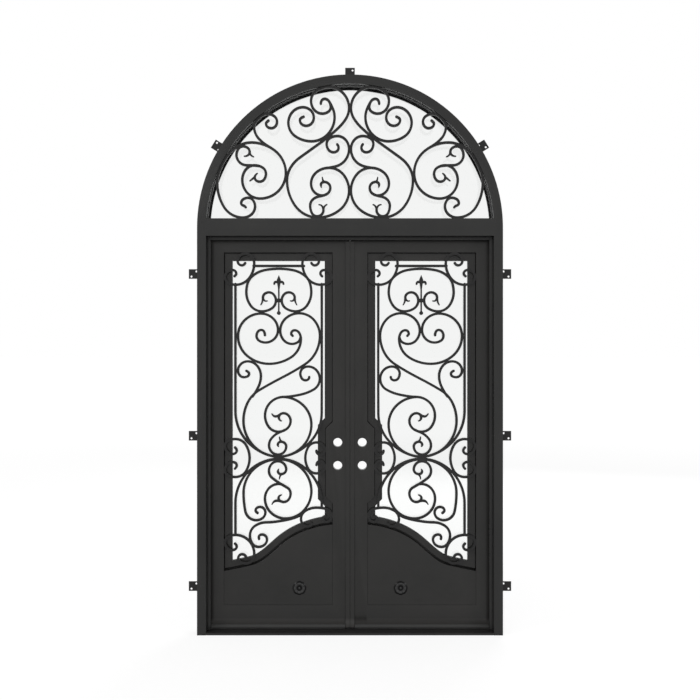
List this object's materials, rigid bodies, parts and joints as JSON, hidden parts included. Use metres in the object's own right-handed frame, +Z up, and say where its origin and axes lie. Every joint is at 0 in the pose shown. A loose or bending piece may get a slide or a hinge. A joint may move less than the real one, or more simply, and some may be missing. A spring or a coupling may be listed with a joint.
{
  "type": "double entry door with arched transom",
  "caption": "Double entry door in a welded steel frame, with scrollwork over glazed sashes and a round-top scrollwork transom.",
  "frame": {"origin": "centre of the sill's underside", "axes": "+Z up, +Y towards the indoor side, +X to the right as seen from outdoors"},
  "size_m": [1.951, 0.1735, 3.4139],
  "materials": {
    "painted_steel": "satin charcoal paint",
    "black_steel": "satin black paint",
    "glass": "clear insulated glass",
    "rubber": "matt black rubber"
  },
  "bodies": {
    "frame": {"jamb_left": "painted_steel", "jamb_right": "painted_steel", "arch_head": "painted_steel", "transom_rail": "painted_steel", "sill": "painted_steel", "stop_left": "painted_steel", "stop_right": "painted_steel", "stop_head": "painted_steel", "weatherstrip": "rubber", "transom_liner": "black_steel", "transom_gasket": "rubber", "transom_glass": "glass", "transom_bead": "painted_steel", "transom_scrollwork": "black_steel", "wall_lugs_left": "painted_steel", "wall_lugs_right": "painted_steel", "wall_lugs_arch": "painted_steel", "frame_hinges_left": "painted_steel", "frame_hinges_right": "painted_steel"},
    "leaf_left": {"hinge_stile_left": "painted_steel", "lock_box_left": "painted_steel", "meeting_stile_lower_left": "painted_steel", "meeting_stile_upper_left": "painted_steel", "top_rail_left": "painted_steel", "bottom_rail_left": "painted_steel", "kick_panel_left": "painted_steel", "scrollwork_left": "black_steel", "edge_bar_left": "painted_steel", "drip_bar_left": "painted_steel", "rosette_left": "painted_steel", "kick_scrolls_left": "painted_steel", "sweep_left": "rubber", "leaf_hinges_left": "painted_steel", "sash_hinges_fixed_left": "painted_steel"},
    "sash_left": {"sash_left": "painted_steel", "glass_left": "glass", "glass_bead_left": "painted_steel", "sash_hinges_moving_left": "painted_steel"},
    "leaf_right": {"hinge_stile_right": "painted_steel", "lock_box_right": "painted_steel", "meeting_stile_lower_right": "painted_steel", "meeting_stile_upper_right": "painted_steel", "top_rail_right": "painted_steel", "bottom_rail_right": "painted_steel", "kick_panel_right": "painted_steel", "scrollwork_right": "black_steel", "edge_bar_right": "painted_steel", "drip_bar_right": "painted_steel", "rosette_right": "painted_steel", "kick_scrolls_right": "painted_steel", "sweep_right": "rubber", "leaf_hinges_right": "painted_steel", "sash_hinges_fixed_right": "painted_steel"},
    "sash_right": {"sash_right": "painted_steel", "glass_right": "glass", "glass_bead_right": "painted_steel", "sash_hinges_moving_right": "painted_steel"}
  },
  "joints": [
    {"name": "leaf_left_swing", "type": "hinge", "parent": "frame", "child": "leaf_left", "pos_m": [-0.8585, 0.087, 0], "axis": [0, 0, 1], "range_deg": [0, 110]},
    {"name": "sash_left_swing", "type": "hinge", "parent": "leaf_left", "child": "sash_left", "pos_m": [-0.786, 0.084, 0], "axis": [0, 0, 1], "range_deg": [0, 90]},
    {"name": "leaf_right_swing", "type": "hinge", "parent": "frame", "child": "leaf_right", "pos_m": [0.8585, 0.087, 0], "axis": [0, 0, -1], "range_deg": [0, 110]},
    {"name": "sash_right_swing", "type": "hinge", "parent": "leaf_right", "child": "sash_right", "pos_m": [0.786, 0.084, 0], "axis": [0, 0, -1], "range_deg": [0, 90]}
  ]
}
